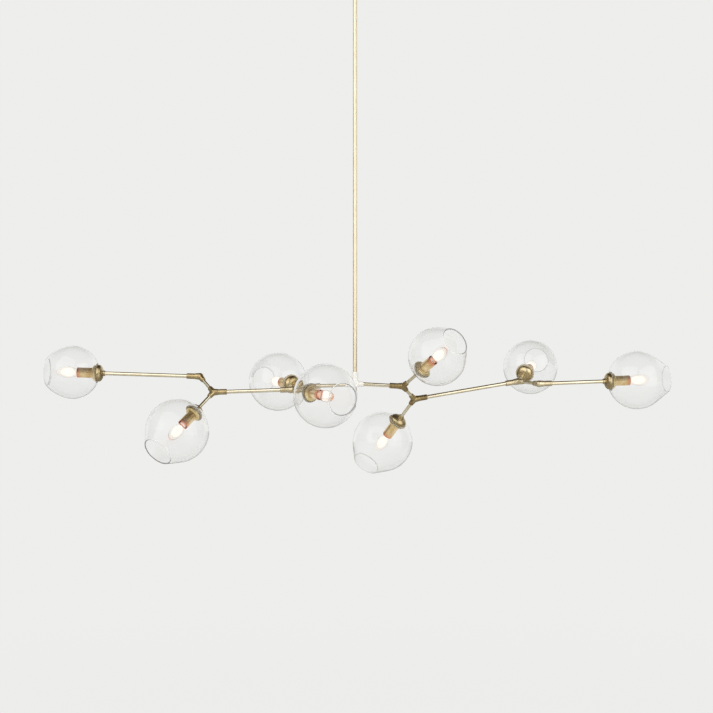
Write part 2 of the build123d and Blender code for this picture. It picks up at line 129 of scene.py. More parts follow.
WANDER_PHASE = 1.7                  # radians from one globe to the next
RIM_HEIGHT = 2.5 * MM               # of the lightly ground rim
LIP_GROUND = 1.0
RIM_GROUND = 0.4

# The castings' soft middles, over the balls and prongs of the forks and elbows
FORK_ROD_START = 7.5 * MM           # from a fork's middle to the end of a rod in its prong
ROD_END_REACH = 8 * MM            # from a casting to the ends of the rods in it
WEB_BALL_R = 10 * MM
WEB_ROOT_R = 9.2 * MM
WEB_PRONG_R = 7 * MM
WEB_PRONG_REACH = 20.5 * MM
WEB_SLEEVE_R = 8.3 * MM
WEB_SLEEVE_REACH = 15 * MM
WEB_GRAIN = 0.7 * MM
WEB_SMOOTHING = 14                  # passes

# The knurled nut under the canopy
NUT_TOP = -28 * MM
NUT_BOTTOM = -36 * MM
NUT_R = 11 * MM
NUT_HOLE_R = 5.05 * MM
NUT_RIDGES = 44
NUT_RIDGE_R = 0.5 * MM
NUT_RIDGE_HEIGHT = 5 * MM
NUT_RIDGE_LEVEL = NUT_TOP - 3.2 * MM
NUT_CORE_R = NUT_R - 0.55 * MM
NUT_ROUND = 1.5 * MM

LAMP_BODIES = {
    "right_inner": "right_middle",
    "right_middle": "right_middle",
    "right_end": "right_end",
    "right_tip": "right_end",
    "left_inner": "left_middle",
    "left_middle": "left_middle",
    "left_end": "left_end",
    "left_tip": "left_end",
}
ARM_BODIES = ("right_middle", "right_end", "left_middle", "left_end")
FITTINGS = {
    "right_middle": ("right_inner_fork", "right_middle_fork"),
    "right_end": ("right_end_fork", "right_elbow"),
    "left_middle": ("left_inner_fork", "left_middle_fork"),
    "left_end": ("left_end_fork", "left_elbow"),
}


def linear(code):
    """Linear colour of an sRGB hex value."""
    parts = [int(code[i:i + 2], 16) / 255 for i in (1, 3, 5)]
    return (*[c / 12.92 if c <= 0.04045 else ((c + 0.055) / 1.055) ** 2.4 for c in parts], 1.0)


def add(tree, kind, settings=None, inputs=None):
    """Node with its settings, and its inputs as values or as sockets to link from."""
    node = tree.nodes.new(kind)
    for name, value in (settings or {}).items():
        if name == "stops":
            stops = node.color_ramp.elements
            while len(stops) < len(value):
                stops.new(1.0)
            for stop, (place, code) in zip(stops, value):
                stop.position = place
                stop.color = linear(code)
        else:
            setattr(node, name, value)
    for name, value in (inputs or {}).items():
        socket = node.inputs[name]
        if isinstance(value, bpy.types.NodeSocket):
            tree.links.new(value, socket)
        else:
            socket.default_value = value
    return node


def new_material(name):
    """Material with an empty tree, its tree and its output."""
    made = bpy.data.materials.new(name)
    made.use_nodes = True
    tree = made.node_tree
    tree.nodes.clear()
    return made, tree, add(tree, "ShaderNodeOutputMaterial")


def drawn_brass(name, tones, roughness, along):
    """Lacquered brass tube, drawn and brushed along its length.

    The lengthwise lines are about 0.3 mm apart on the real tube. They are drawn 1.5 mm wide here to show.
    """
    made, tree, out = new_material(name)
    place = add(tree, "ShaderNodeTexCoord")
    stretch = [1 / (1.5 * MM)] * 3
    stretch["XYZ".index(along)] = 1 / (70 * MM)
    lines = add(tree, "ShaderNodeMapping", inputs={"Vector": place.outputs["Object"], "Scale": stretch})
    streaks = add(tree, "ShaderNodeTexNoise", inputs={
        "Vector": lines.outputs[0], "Scale": 1.0, "Detail": 3.0})
    clouds = add(tree, "ShaderNodeTexNoise", inputs={
        "Vector": place.outputs["Object"], "Scale": 1 / (45 * MM), "Detail": 4.0})
    both = add(tree, "ShaderNodeMath", {"operation": "MULTIPLY_ADD"}, {
        0: streaks.outputs["Fac"], 1: 0.25, 2: clouds.outputs["Fac"]})
    colour = add(tree, "ShaderNodeValToRGB", {
        "stops": [(0.4, tones[0]), (0.62, tones[1]), (0.85, tones[2])]}, {
        "Fac": both.outputs[0]})
    gloss = add(tree, "ShaderNodeMapRange", inputs={
        "Value": streaks.outputs["Fac"], "To Min": roughness - 0.05, "To Max": roughness + 0.06})
    bump = add(tree, "ShaderNodeBump", inputs={
        "Height": streaks.outputs["Fac"], "Strength": 0.06, "Distance": 0.1 * MM})
    shader = add(tree, "ShaderNodeBsdfPrincipled", inputs={
        "Base Color": colour.outputs["Color"], "Metallic": 1.0, "Roughness": gloss.outputs[0],
        "Normal": bump.outputs[0], "Coat Weight": 0.25, "Coat Roughness": 0.12})
    tree.links.new(shader.outputs[0], out.inputs["Surface"])
    return made


def cast_brass(name, tones, roughness):
    """Sand-cast brass, dressed by hand: a fine pebbled skin with darker tarnish in cloudy patches."""
    made, tree, out = new_material(name)
    place = add(tree, "ShaderNodeTexCoord")
    tarnish = add(tree, "ShaderNodeTexNoise", inputs={
        "Vector": place.outputs["Object"], "Scale": 1 / (16 * MM), "Detail": 5.0, "Roughness": 0.6})
    pebbles = add(tree, "ShaderNodeTexNoise", inputs={
        "Vector": place.outputs["Object"], "Scale": 1 / (1.1 * MM), "Detail": 2.0})
    colour = add(tree, "ShaderNodeValToRGB", {
        "stops": [(0.3, tones[0]), (0.52, tones[1]), (0.75, tones[2])]}, {
        "Fac": tarnish.outputs["Fac"]})
    gloss = add(tree, "ShaderNodeMapRange", inputs={
        "Value": tarnish.outputs["Fac"], "To Min": roughness + 0.12, "To Max": roughness - 0.08})
    bump = add(tree, "ShaderNodeBump", inputs={
        "Height": pebbles.outputs["Fac"], "Strength": 0.15, "Distance": 0.12 * MM})
    shader = add(tree, "ShaderNodeBsdfPrincipled", inputs={
        "Base Color": colour.outputs["Color"], "Metallic": 1.0, "Roughness": gloss.outputs[0],
        "Normal": bump.outputs[0], "Coat Weight": 0.15, "Coat Roughness": 0.2})
    tree.links.new(shader.outputs[0], out.inputs["Surface"])
    return made


def spun_brass(name, tones, roughness, ring_width, lamp_glow_runs):
    """Sheet brass spun on a lathe: fine rings round its axis, from the outline's run in the UV map.

    Between the two given runs the colour turns to warm copper: a painted glow of the lamplight on the
    metal.
    """
    made, tree, out = new_material(name)
    place = add(tree, "ShaderNodeTexCoord")
    rings = add(tree, "ShaderNodeMapping", inputs={
        "Vector": place.outputs["UV"], "Scale": (2.0, 1 / ring_width, 1.0)})
    lines = add(tree, "ShaderNodeTexNoise", inputs={
        "Vector": rings.outputs[0], "Scale": 1.0, "Detail": 3.0})
    clouds = add(tree, "ShaderNodeTexNoise", inputs={
        "Vector": place.outputs["Object"], "Scale": 1 / (20 * MM), "Detail": 4.0})
    both = add(tree, "ShaderNodeMath", {"operation": "MULTIPLY_ADD"}, {
        0: lines.outputs["Fac"], 1: 0.4, 2: clouds.outputs["Fac"]})
    colour = add(tree, "ShaderNodeValToRGB", {
        "stops": [(0.42, tones[0]), (0.7, tones[1]), (0.92, tones[2])]}, {
        "Fac": both.outputs[0]})
    run = add(tree, "ShaderNodeSeparateXYZ", inputs={0: place.outputs["UV"]})
    # Painted copper glow of lamplight, between the two given runs along the outline
    painted_glow_share = add(tree, "ShaderNodeMapRange", {"interpolation_type": "SMOOTHSTEP"}, {
        "Value": run.outputs["Y"], "From Min": lamp_glow_runs[0], "From Max": lamp_glow_runs[1]})
    glow_painted_colour = add(tree, "ShaderNodeMix", {"data_type": "RGBA"}, {
        0: painted_glow_share.outputs[0], 6: colour.outputs["Color"], 7: linear("#DD8F63")})
    gloss = add(tree, "ShaderNodeMapRange", inputs={
        "Value": lines.outputs["Fac"], "To Min": roughness - 0.05, "To Max": roughness + 0.07})
    bump = add(tree, "ShaderNodeBump", inputs={
        "Height": lines.outputs["Fac"], "Strength": 0.1, "Distance": 0.1 * MM})
    shader = add(tree, "ShaderNodeBsdfPrincipled", inputs={
        "Base Color": glow_painted_colour.outputs[2], "Metallic": 1.0, "Roughness": gloss.outputs[0],
        "Normal": bump.outputs[0], "Coat Weight": 0.3, "Coat Roughness": 0.1})
    tree.links.new(shader.outputs[0], out.inputs["Surface"])
    return made


def blown_glass(name):
    """Clear mouth-blown soda glass: smooth, faintly wavy, grey only where the wall is seen edge on.

    The flat lip in the clamp is ground matt, as the ground attribute says; its warm tone is a painted
    reflection of the brass round it.
    """
    made, tree, out = new_material(name)
    place = add(tree, "ShaderNodeTexCoord")
    waves = add(tree, "ShaderNodeTexNoise", inputs={
        "Vector": place.outputs["Object"], "Scale": 1 / (38 * MM), "Detail": 1.0})
    bump = add(tree, "ShaderNodeBump", inputs={
        "Height": waves.outputs["Fac"], "Strength": 0.12, "Distance": 1.2 * MM})
    ground = add(tree, "ShaderNodeAttribute", {"attribute_name": "ground"})
    matt = add(tree, "ShaderNodeMath", {"operation": "MULTIPLY"}, {0: ground.outputs["Fac"], 1: 0.6})
    clear = add(tree, "ShaderNodeMapRange", inputs={
        "Value": ground.outputs["Fac"], "To Min": 1.0, "To Max": 0.1})
    # Painted reflection: the ground lip takes the warm colour of the brass round it
    painted_brass_tint = add(tree, "ShaderNodeValToRGB", {"stops": [(0.4, "#FFFFFF"), (1.0, "#CDBF9E")]}, {
        "Fac": ground.outputs["Fac"]})
    shader = add(tree, "ShaderNodeBsdfPrincipled", inputs={
        "Base Color": painted_brass_tint.outputs["Color"], "Roughness": matt.outputs[0], "IOR": 1.4,
        "Transmission Weight": clear.outputs[0], "Normal": bump.outputs[0]})
    grey = add(tree, "ShaderNodeVolumeAbsorption", inputs={"Color": linear("#DDE1E4"), "Density": 3.0})
    tree.links.new(shader.outputs[0], out.inputs["Surface"])
    tree.links.new(grey.outputs[0], out.inputs["Volume"])
    return made


def lit_heart(name):
    """Light in the wide part of a bulb: brightest through the middle and fading to nothing at its edge."""
    made, tree, out = new_material(name)
    place = add(tree, "ShaderNodeTexCoord")
    flicker = add(tree, "ShaderNodeTexNoise", inputs={
        "Vector": place.outputs["Object"], "Scale": 1 / (6 * MM), "Detail": 2.0})
    glow = add(tree, "ShaderNodeMapRange", inputs={
        "Value": flicker.outputs["Fac"], "To Min": 0.05, "To Max": 0.08})
    shader = add(tree, "ShaderNodeBsdfPrincipled", inputs={
        "Base Color": linear("#FFFFFF"), "Roughness": 0.3, "IOR": 1.02, "Transmission Weight": 1.0,
        "Emission Color": linear("#FFF3E2"), "Emission Strength": glow.outputs[0]})
    light = add(tree, "ShaderNodeEmission", inputs={"Color": linear("#FFEFDC"), "Strength": 5.5})
    tree.links.new(shader.outputs[0], out.inputs["Surface"])
    tree.links.new(light.outputs[0], out.inputs["Volume"])
    return made


def lit_bulb_glass(name):
    """Thin frosted bulb glass: clear enough to see the light in it, with a soft edge."""
    made, tree, out = new_material(name)
    place = add(tree, "ShaderNodeTexCoord")
    frost = add(tree, "ShaderNodeTexNoise", inputs={
        "Vector": place.outputs["Object"], "Scale": 1 / (0.8 * MM), "Detail": 2.0})
    bump = add(tree, "ShaderNodeBump", inputs={
        "Height": frost.outputs["Fac"], "Strength": 0.1, "Distance": 0.05 * MM})
    gloss = add(tree, "ShaderNodeMapRange", inputs={
        "Value": frost.outputs["Fac"], "To Min": 0.16, "To Max": 0.3})
    shader = add(tree, "ShaderNodeBsdfPrincipled", inputs={
        "Base Color": linear("#FFFBF5"), "Roughness": gloss.outputs[0], "IOR": 1.12,
        "Transmission Weight": 1.0, "Normal": bump.outputs[0], "Emission Color": linear("#FFF0E2"),
        "Emission Strength": 0.03})
    tree.links.new(shader.outputs[0], out.inputs["Surface"])
    return made


def lit_neck_glass(name):
    """Bulb neck in the socket cover: the brass round it turns its light copper, paler towards the bulb."""
    made, tree, out = new_material(name)
    place = add(tree, "ShaderNodeTexCoord")
    run = add(tree, "ShaderNodeSeparateXYZ", inputs={0: place.outputs["UV"]})
    along = add(tree, "ShaderNodeMapRange", inputs={
        "Value": run.outputs["Y"], "From Min": BULB_NECK_R,
        "From Max": BULB_NECK_R + BULB_NECK_FRONT - CAP_FRONT})
    mottle = add(tree, "ShaderNodeTexNoise", inputs={
        "Vector": place.outputs["Object"], "Scale": 1 / (3 * MM), "Detail": 3.0})
    mixed = add(tree, "ShaderNodeMath", {"operation": "MULTIPLY_ADD"}, {
        0: mottle.outputs["Fac"], 1: 0.2, 2: along.outputs[0]})
    glow = add(tree, "ShaderNodeValToRGB", {"stops": [
        (0.1, "#A84E2A"), (0.5, "#CF764C"), (0.8, "#E0926A"), (1.0, "#EBA985")]}, {
        "Fac": mixed.outputs[0]})
    shader = add(tree, "ShaderNodeBsdfPrincipled", inputs={
        "Base Color": glow.outputs["Color"], "Roughness": 0.3, "Emission Color": glow.outputs["Color"],
        "Emission Strength": 0.35})
    tree.links.new(shader.outputs[0], out.inputs["Surface"])
    return made


def speckled(name, tones, roughness, metallic, grain):
    """Plain small part: hub painted near-white as a highlight, glazed porcelain, plated or blackened steel,
    with a fine grain.
    """
    made, tree, out = new_material(name)
    place = add(tree, "ShaderNodeTexCoord")
    grains = add(tree, "ShaderNodeTexNoise", inputs={
        "Vector": place.outputs["Object"], "Scale": 1 / grain, "Detail": 4.0})
    colour = add(tree, "ShaderNodeValToRGB", {"stops": [(0.32, tones[0]), (0.68, tones[1])]}, {
        "Fac": grains.outputs["Fac"]})
    gloss = add(tree, "ShaderNodeMapRange", inputs={
        "Value": grains.outputs["Fac"], "To Min": roughness - 0.06, "To Max": roughness + 0.08})
    bump = add(tree, "ShaderNodeBump", inputs={
        "Height": grains.outputs["Fac"], "Strength": 0.08, "Distance": 0.1 * MM})
    shader = add(tree, "ShaderNodeBsdfPrincipled", inputs={
        "Base Color": colour.outputs["Color"], "Metallic": metallic, "Roughness": gloss.outputs[0],
        "Normal": bump.outputs[0]})
    tree.links.new(shader.outputs[0], out.inputs["Surface"])
    return made


TUBE_TONES = ("#DCCFAE", "#E5DBC0", "#EEE7D3")
arm_brass = drawn_brass("drawn brass, brushed, arms", TUBE_TONES, 0.22, "X")
stem_brass = drawn_brass("drawn brass, brushed, stem", ("#DED0B2", "#E2D5B9", "#E6DAC1"), 0.44, "Z")
# Three copies of one cast brass at different brightness: the darker two are painted shade, the lightest
# painted light, set by how light falls on each arm's fittings
shaded_cast_brass = cast_brass("cast brass, darkened as painted shade", ("#85724C", "#9E8A60", "#B6A278"), 0.36)
half_shaded_cast_brass = cast_brass("cast brass, half darkened as painted shade", ("#9D885D", "#B4A075", "#CBB88E"), 0.32)
lit_cast_brass = cast_brass("cast brass, lightened as painted light", ("#BBA985", "#CDBE9C", "#E0D4B8"), 0.32)
ring_brass = cast_brass("turned brass, clamp rings", ("#CDB178", "#E1CA94", "#F5E6C0"), 0.22)
FITTING_BRASS = {
    "right_middle": shaded_cast_brass, "right_end": lit_cast_brass, "left_middle": lit_cast_brass, "left_end": half_shaded_cast_brass}
NO_PAINTED_GLOW = (1.0, 2.0)               # runs past the end of any outline
OPEN_END_PAINTED_GLOW = (29 * MM, 43 * MM)  # runs along a cover's outside, up to its open end, painted copper there as the glow of lamplight
# The cups' tones are darkened as painted shade, standing for the dark room that their domed backs reflect
shaded_cup_brass = spun_brass("spun brass, cups, darkened as painted shade", ("#8F7B53", "#AE9A70", "#DACBA6"), 0.26, 0.9 * MM, NO_PAINTED_GLOW)
cover_brass = spun_brass(
    "spun brass, socket covers", ("#C4A268", "#DDBE84", "#F5DFB4"), 0.2, 1.1 * MM, OPEN_END_PAINTED_GLOW)
ceiling_brass = drawn_brass("turned brass, ceiling fittings", TUBE_TONES, 0.25, "Z")
globe_glass = blown_glass("clear blown glass")
bulb_glass = lit_bulb_glass("frosted bulb glass")
bulb_light = lit_heart("lit heart of a bulb")
neck_glass = lit_neck_glass("bulb neck glass, lit")
# Painted highlight: the hub is near-white and not metallic, standing for brass washed out by strong light
hub_painted_highlight = speckled("cast brass hub, painted near-white as a highlight", ("#FFFCF4", "#FFFFFC"), 0.34, 0.0, 4 * MM)
porcelain = speckled("glazed porcelain", ("#E9E4D8", "#F3EFE6"), 0.22, 0.0, 6 * MM)
plated_steel = speckled("zinc-plated steel", ("#A9ACAE", "#C4C7C8"), 0.34, 1.0, 5 * MM)
black_steel = speckled("blackened steel screws", ("#2C2A28", "#3A3835"), 0.42, 1.0, 2 * MM)
cap_nickel = speckled("nickel-plated brass screw caps", ("#C9C3B2", "#D8D3C6"), 0.24, 1.0, 3 * MM)


def points_of(node):
    """A node's vertices as rows of x, y, z."""
    mesh = bpy.data.objects[node].data
    points = np.empty(len(mesh.vertices) * 3)
    mesh.vertices.foreach_get("co", points)
    return points.reshape(-1, 3)


def near_mask(points, lamp):
    """Which points are nearer to a lamp's globe than to the other globe on its body."""
    reach = {}
    for other, body in LAMP_BODIES.items():
        if body == LAMP_BODIES[lamp]:
            low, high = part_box(f"{other}_globe")
            reach[other] = np.linalg.norm(points - np.array((low + high) / 2), axis=1)
    return reach[lamp] <= np.min(list(reach.values()), axis=0)


def middle_of(node, lamp):
    """Area-weighted middle of the solid of a node that belongs to a lamp."""
    mesh = bpy.data.objects[node].data
    centres = np.empty(len(mesh.polygons) * 3)
    mesh.polygons.foreach_get("center", centres)
    centres = centres.reshape(-1, 3)
    areas = np.empty(len(mesh.polygons))
    mesh.polygons.foreach_get("area", areas)
    mine = near_mask(centres, lamp)
    return Vector(np.average(centres[mine], axis=0, weights=areas[mine]))


def place_of(lamp):
    """Matrix that puts +Z along a lamp's axis, with the middle of its cup's edge at the origin."""
    group = LAMP_BODIES[lamp]
    cup = middle_of(f"{group}_back_cups", lamp)
    axis = (middle_of(f"{group}_bulbs", lamp) - cup).normalized()
    cover = points_of(f"{group}_socket_covers")
    cover = cover[near_mask(cover, lamp)]
    back = np.min((cover - np.array(cup)) @ np.array(axis))
    seat = cup + axis * (back - COVER_BACK)
    return Matrix.Translation(seat) @ axis.to_track_quat("Z", "Y").to_matrix().to_4x4()


def globe_radius(lamp, place):
    """Radius of a lamp's globe, from its solid."""
    points = points_of(f"{lamp}_globe")
    local = (points - np.array(place.translation)) @ np.array(place.to_3x3())
    return float(np.max(np.hypot(local[:, 0], local[:, 1])))


def arc(centre, radius, start, end, count):
    """Points of a circle in (radius, height), by angle from the radius direction."""
    angles = [start + (end - start) * k / count for k in range(count + 1)]
    return [(centre[0] + radius * cos(a), centre[1] + radius * sin(a)) for a in angles]


def bow(a, b, c, d, count):
    """Points of a cubic curve in (radius, height) from a to d, without a."""
    points = []
    for k in range(1, count + 1):
        t = k / count
        s = 1 - t
        weights = (s ** 3, 3 * s * s * t, 3 * s * t * t, t ** 3)
        points.append(tuple(sum(w * p[i] for w, p in zip(weights, (a, b, c, d))) for i in (0, 1)))
    return points


def turned(outline, place, segments, shape=None):
    """Vertices, faces and UVs of a closed outline turned about a lamp's axis.

    The UVs are the turn and the run along the outline in metres. Shape may move a point by its turn, radius
    and height.
    """
    count = len(outline)
    runs = [0.0]
    for k in range(count):
        a, b = outline[k], outline[(k + 1) % count]
        runs.append(runs[-1] + sqrt((a[0] - b[0]) ** 2 + (a[1] - b[1]) ** 2))
    points = []
    for s in range(segments):
        turn = 2 * pi * s / segments
        for r, h in outline:
            if shape:
                r, h = shape(turn, r, h)
            points.append(place @ Vector((r * cos(turn), r * sin(turn), h)))
    faces = []
    uvs = []
    for s in range(segments):
        here, there = s * count, (s + 1) % segments * count
        for k in range(count):
            n = (k + 1) % count
            if outline[k][0] < TOUCHING and outline[n][0] < TOUCHING:
                continue
            faces.append((here + k, there + k, there + n, here + n))
            low, high = s / segments, (s + 1) / segments
            uvs += [(low, runs[k]), (high, runs[k]), (high, runs[k + 1]), (low, runs[k + 1])]
    return points, faces, uvs


def finished(name, mesh, material, body, nodes, sharp):
    """Piece made of a mesh: shaded, riding on its body and standing for its nodes."""
    mesh.materials.clear()
    mesh.materials.append(material)
    mesh.shade_smooth()
    mesh.set_sharp_from_angle(angle=radians(sharp))
    piece = bpy.data.objects.new(name, mesh)
    bpy.context.scene.collection.objects.link(piece)
    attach(piece, body)
    if nodes:
        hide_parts(*nodes)
    return piece


def turned_mesh(name, parts):
    """One mesh of several turned parts, with doubles merged and faces outwards."""
    points, faces, uvs = [], [], []
    for part_points, part_faces, part_uvs in parts:
        start = len(points)
        points += part_points
        faces += [tuple(i + start for i in f) for f in part_faces]
        uvs += part_uvs
    mesh = bpy.data.meshes.new(name)
    mesh.from_pydata(points, [], faces)
    layer = mesh.uv_layers.new(name="turn_run")
    layer.data.foreach_set("uv", [value for uv in uvs for value in uv])
    work = bmesh.new()
    work.from_mesh(mesh)
    bmesh.ops.remove_doubles(work, verts=work.verts, dist=TOUCHING)
    bmesh.ops.dissolve_degenerate(work, edges=work.edges, dist=1e-8)
    bmesh.ops.recalc_face_normals(work, faces=work.faces)
    work.to_mesh(mesh)
    work.free()
    return mesh


def globe_outline(radius, mouth_r, ball_end, rim_lean):
    """Wall of a globe: ground lip, ball, neck and a fire-rounded mouth, then back along the inside."""
    middle = GLASS_BACK + sqrt(radius ** 2 - GLASS_SEAT_R ** 2)
    inner = radius - GLASS_WALL
    half = GLASS_WALL / 2
    run = (radius * cos(MOUTH_LEAN) - mouth_r) / sin(MOUTH_LEAN)
    mouth = (mouth_r, middle + radius * sin(MOUTH_LEAN) + run * cos(MOUTH_LEAN))
    outer = arc((0, middle), radius, -np.arccos(GLASS_SEAT_R / radius), ball_end, 64)
    back = arc((0, middle), inner, ball_end, -np.arccos((GLASS_GROUND_R + LIP_STEP) / inner), 64)
    rim = (mouth[0] - half * cos(rim_lean), mouth[1] - half * sin(rim_lean))
    edge = arc(rim, half, rim_lean, rim_lean + pi, 10)

    def neck(start, end):
        reach = NECK_BOW * sqrt((end[0] - start[0]) ** 2 + (end[1] - start[1]) ** 2)
        leave = (start[0] - reach * sin(ball_end), start[1] + reach * cos(ball_end))
        arrive = (end[0] + reach * sin(rim_lean), end[1] - reach * cos(rim_lean))
        return bow(start, leave, arrive, end, 20)[:-1]

    bevel = [(GLASS_GROUND_R, GLASS_FACE - LIP_BEVEL), (GLASS_GROUND_R - LIP_BEVEL, GLASS_FACE)]
    inside = neck(back[0], edge[-1])[::-1]
    outside = [(GLASS_HOLE_R, GLASS_BACK)] + outer + neck(outer[-1], edge[0])
    return outside + edge + inside + back + bevel + [(GLASS_HOLE_R, GLASS_FACE)]


def hand_blown(number, radius):
    """Slow wander of a globe's wall in from true, nothing at the clamped lip and most near the mouth."""
    phase = WANDER_PHASE * number

    def shape(turn, r, h):
        share = max(0.0, min(1.0, (h - WANDER_START) / (2 * radius)))
        swell = 0.6 * sin(2 * turn + phase) + 0.4 * sin(3 * turn - 2 * phase + WANDER_TWIST * h)
        dip = 0.7 * sin(turn + 3 * phase) + 0.3 * sin(2 * turn + phase)
        return r + WANDER_IN * share * (swell - 1), h + WANDER_DOWN * share ** 3 * (dip - 1)

    return shape


def ground_shares(points):
    """How ground the glass is at each point: matt in the clamp, lightly at the cut rim, clear elsewhere."""
    rim = max(p.z for p in points) - RIM_HEIGHT
    slack = 0.05 * MM
    shares = []
    for p in points:
        if p.z < GLASS_FACE + slack and p.xy.length < GLASS_GROUND_R + slack:
            shares.append(LIP_GROUND)
        else:
            shares.append(RIM_GROUND if p.z > rim else 0.0)
    return shares


def cup_outline():
    """Cup: stalk neck, domed back, rolled edge, seat for the glass, boss and wiring hole."""
    neck = (CUP_NECK_R, CUP_BACK - CUP_DOME)
    edge = (CUP_R, CUP_EDGE)
    flat = (CUP_NECK_R + 7.5 * MM, neck[1])
    upright = (CUP_R, CUP_EDGE - 4.5 * MM)
    dome = bow(neck, flat, upright, edge, 20)
    rolled = arc((CUP_R - CUP_ROUND, CUP_FRONT - CUP_ROUND), CUP_ROUND, 0, pi / 2, 8)
    chamfer = 0.4 * MM
    return [
        (CUP_WIRE_R, CUP_NECK_END), (CUP_NECK_R - chamfer, CUP_NECK_END),
        (CUP_NECK_R, CUP_NECK_END + chamfer), neck, *dome, *rolled,
        (CUP_PILOT_R, CUP_FRONT), (CUP_PILOT_R, GLASS_FACE), (CUP_WIRE_R, GLASS_FACE),
    ]


def ring_outline():
    """Clamp ring: straight edge, rounded corner and a hollow slope up to the socket cover."""
    corner = arc((RING_R - RING_ROUND, RING_EDGE - RING_ROUND), RING_ROUND, 0, radians(60), 6)
    flat = (RING_R - 2.5 * MM, RING_EDGE + 1 * MM)
    upright = (RING_END_R + 0.4 * MM, RING_FACE - 3 * MM)
    slope = bow(corner[-1], flat, upright, (RING_END_R, RING_FACE), 12)
    return [(RING_HOLE_R, RING_BACK), (RING_R, RING_BACK), *corner, *slope, (RING_HOLE_R, RING_FACE)]


def cover_outline():
    """Socket cover: thin tube with a small rolled bead at its open end."""
    bead = COVER_BEAD_R
    inside = COVER_R - COVER_WALL
    return [
        (inside, COVER_BACK), (COVER_R, COVER_BACK), (COVER_R, COVER_FRONT - 3 * bead),
        *arc((COVER_R - bead, COVER_FRONT - bead), bead, 0, pi, 10), (inside, COVER_FRONT - 2.5 * bead),
    ]


def neck_outline():
    """Bulb neck: a plain collar of glass from the screw cap to the open end of the socket cover."""
    shoulder = (BULB_NECK_R, BULB_NECK_FRONT - 1 * MM)
    front = (BULB_NECK_R - 0.6 * MM, BULB_NECK_FRONT)
    return [(0, CAP_FRONT), (BULB_NECK_R, CAP_FRONT), shoulder, front, (0, BULB_NECK_FRONT)]


def bulb_outline():
    """Bulb glass: swelling from its neck to the widest place and rounding over to the tip."""
    neck = (BULB_NECK_R, BULB_NECK_FRONT)
    widest = (BULB_R, BULB_WIDEST)
    flared = (12 * MM, 69 * MM)
    upright = (BULB_R, 82 * MM)
    swell = bow(neck, flared, upright, widest, 16)
    shoulder = (BULB_R, 108 * MM)
    flat = (9.5 * MM, BULB_TIP)
    crown = bow(widest, shoulder, flat, (0, BULB_TIP), 20)
    foot = (BULB_NECK_R - 0.4 * MM, BULB_NECK_FRONT + 0.2 * MM)
    return [(0, foot[1]), foot, *swell, *crown]


def heart_outline():
    """Light inside a bulb, an egg in its wide part."""
    steps = 24
    angles = [pi * k / steps for k in range(steps + 1)]
    return [(HEART_R * sin(a), HEART_MIDDLE - HEART_HALF * cos(a)) for a in angles]


def cap_outline():
    """Core of a bulb's screw cap, with the insulated step and contact at its back."""
    contact = (2.2 * MM, CAP_BACK)
    contact_edge = (2.6 * MM, CAP_BACK + 0.8 * MM)
    step = (5.2 * MM, CAP_BACK + 2.4 * MM)
    shell = (CAP_CORE_R, CAP_BACK + 3.2 * MM)
    return [(0, CAP_BACK), contact, contact_edge, step, shell, (CAP_CORE_R, CAP_FRONT), (0, CAP_FRONT)]


def new_tree(name, sizes):
    """Empty Geometry Nodes tree with a geometry in and out and named inputs, and its two ends."""
    tree = bpy.data.node_groups.new(name, "GeometryNodeTree")
    tree.interface.new_socket("Geometry", in_out="INPUT", socket_type="NodeSocketGeometry")
    for label, kind in sizes:
        tree.interface.new_socket(label, in_out="INPUT", socket_type=kind)
    tree.interface.new_socket("Geometry", in_out="OUTPUT", socket_type="NodeSocketGeometry")
    return tree, add(tree, "NodeGroupInput"), add(tree, "NodeGroupOutput")


def thread_tree():
    """Screw thread round each cap: a rounded ridge on a helix, put at points that carry their lean."""
    tree, given, out = new_tree("cap screw thread", [
        ("Core radius", "NodeSocketFloat"), ("Ridge radius", "NodeSocketFloat"),
        ("Pitch", "NodeSocketFloat"), ("Turns", "NodeSocketFloat"), ("Start", "NodeSocketFloat"),
        ("Metal", "NodeSocketMaterial")])
    height = add(tree, "ShaderNodeMath", {"operation": "MULTIPLY"}, {
        0: given.outputs["Pitch"], 1: given.outputs["Turns"]})
    helix = add(tree, "GeometryNodeCurveSpiral", inputs={
        "Resolution": 40, "Rotations": given.outputs["Turns"], "Height": height.outputs[0],
        "Start Radius": given.outputs["Core radius"], "End Radius": given.outputs["Core radius"]})
    ridge = add(tree, "GeometryNodeCurvePrimitiveCircle", inputs={
        "Resolution": 8, "Radius": given.outputs["Ridge radius"]})
    swept = add(tree, "GeometryNodeCurveToMesh", inputs={
        "Curve": helix.outputs[0], "Profile Curve": ridge.outputs[0], "Fill Caps": True})
    lift = add(tree, "ShaderNodeCombineXYZ", inputs={"Z": given.outputs["Start"]})
    raised = add(tree, "GeometryNodeTransform", inputs={
        "Geometry": swept.outputs[0], "Translation": lift.outputs[0]})
    lean = add(tree, "GeometryNodeInputNamedAttribute", {"data_type": "FLOAT_VECTOR"}, {"Name": "lean"})
    turn = add(tree, "FunctionNodeEulerToRotation", inputs={0: lean.outputs["Attribute"]})
    placed = add(tree, "GeometryNodeInstanceOnPoints", inputs={
        "Points": given.outputs["Geometry"], "Instance": raised.outputs[0], "Rotation": turn.outputs[0]})
    real = add(tree, "GeometryNodeRealizeInstances", inputs={0: placed.outputs[0]})
    metal = add(tree, "GeometryNodeSetMaterial", inputs={
        "Geometry": real.outputs[0], "Material": given.outputs["Metal"]})
    tree.links.new(metal.outputs[0], out.inputs[0])
    return tree


